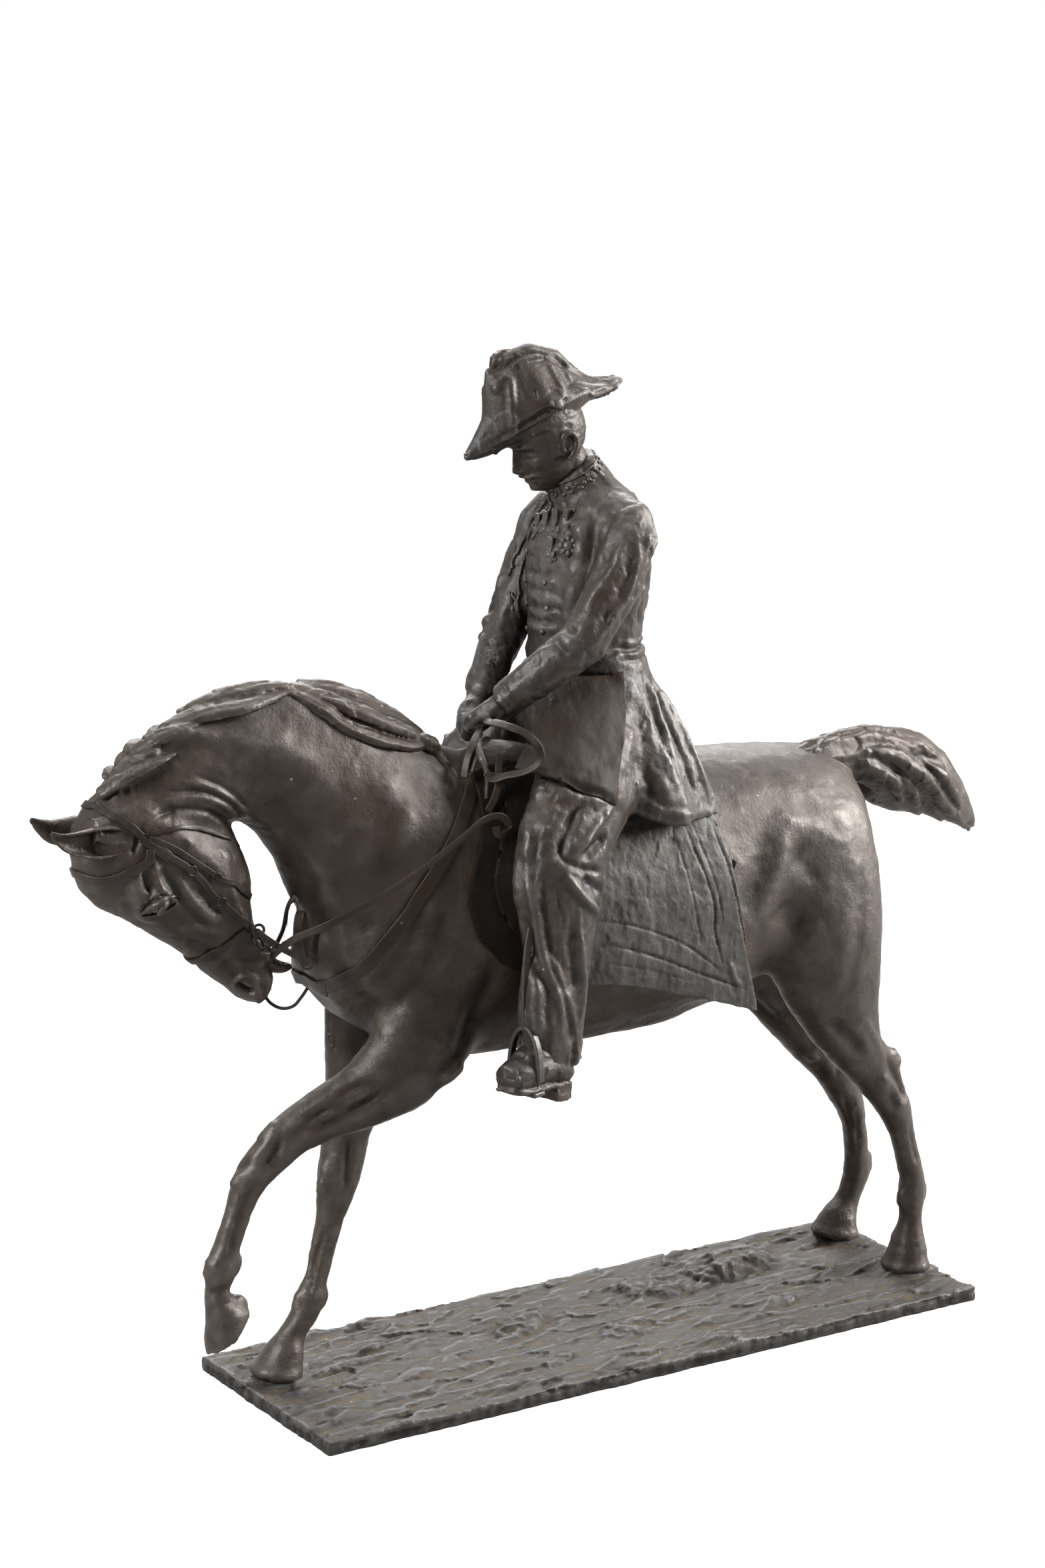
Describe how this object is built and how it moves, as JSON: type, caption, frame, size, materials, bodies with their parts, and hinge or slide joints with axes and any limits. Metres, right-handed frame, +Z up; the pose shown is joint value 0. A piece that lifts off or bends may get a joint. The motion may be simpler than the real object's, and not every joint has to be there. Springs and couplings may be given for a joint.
{
  "type": "equestrian statuette",
  "caption": "Bronze statuette of a horse stepping with its head tucked in and a rider in a bicorne hat, over one thin plinth with roughly modelled ground.",
  "frame": {"origin": "middle of the plinth's underside", "axes": "+X along the plinth towards the horse's tail, +Y towards the horse's right side, +Z up"},
  "size_m": [0.7404, 0.1997, 0.6758],
  "materials": {
    "ground_bronze": "dark brown-grey patina with ochre dust in the hollows",
    "horse_bronze": "dark brown-black patina, greyer satin rubbing on high places",
    "rider_bronze": "dark grey-brown patina, satin",
    "strap_bronze": "dark brown-grey patina, satin"
  },
  "bodies": {
    "root": {"plinth": "ground_bronze", "horse": "horse_bronze", "rider": "rider_bronze", "left_rein": "strap_bronze"}
  },
  "joints": []
}
